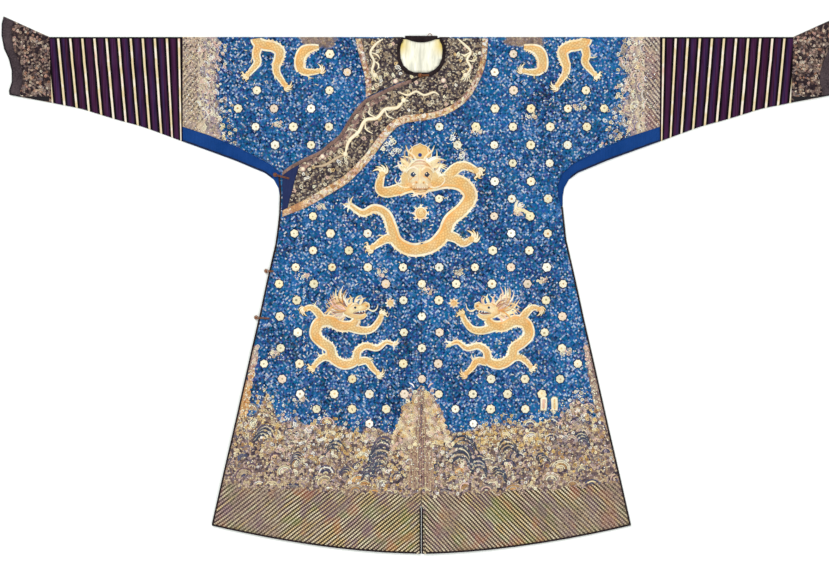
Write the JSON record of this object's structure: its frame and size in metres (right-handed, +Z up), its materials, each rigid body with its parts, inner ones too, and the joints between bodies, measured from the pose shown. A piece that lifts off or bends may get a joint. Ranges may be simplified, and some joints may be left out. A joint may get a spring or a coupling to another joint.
{
  "type": "dragon robe",
  "caption": "Court dragon robe in embroidered silk laid flat, front up, closing at its right side, with long pleated sleeves and flared hoof-shaped cuffs",
  "frame": {"origin": "centre of the robe's outline on the surface it lies on", "axes": "+X towards the wearer's left cuff, +Y from hem to shoulder, +Z up, out of the robe's front"},
  "size_m": [2.2774, 1.458, 0.0147],
  "materials": {
    "blue_silk": "satin",
    "plain_blue": "satin",
    "striped_silk": "satin",
    "cuff_silk": "matte",
    "dark_border": "matte",
    "collar_silk": "matte",
    "gold_trim": "matte",
    "navy_silk": "satin",
    "binding": "matte",
    "lining": "satin",
    "toggle_cord": "matte"
  },
  "bodies": {
    "root": {"back_neck_band": "binding", "back_neck_loop": "toggle_cord", "collar_end_patch": "navy_silk", "collar_facing": "collar_silk", "collar_trim": "gold_trim", "left_back_hem_binding": "binding", "left_cuff": "cuff_silk", "left_cuff_border": "dark_border", "left_front_hem_binding": "binding", "left_half": "blue_silk", "left_neck_binding": "binding", "left_side_piping": "binding", "left_sleeve_pleated": "striped_silk", "left_under_sleeve": "plain_blue", "loop_neck": "toggle_cord", "loop_side_lower": "toggle_cord", "loop_side_upper": "toggle_cord", "loop_underarm": "toggle_cord", "neck_lining": "lining", "overlap_binding": "binding", "overlap_edging": "dark_border", "overlap_panel": "blue_silk", "right_back_hem_binding": "binding", "right_collar_facing": "collar_silk", "right_collar_trim": "gold_trim", "right_cuff": "cuff_silk", "right_cuff_border": "dark_border", "right_half": "blue_silk", "right_neck_binding": "binding", "right_side_piping": "binding", "right_sleeve_pleated": "striped_silk", "right_under_sleeve": "plain_blue", "toggle_neck": "toggle_cord", "toggle_side_lower": "toggle_cord", "toggle_side_upper": "toggle_cord", "toggle_underarm": "toggle_cord"}
  },
  "joints": []
}
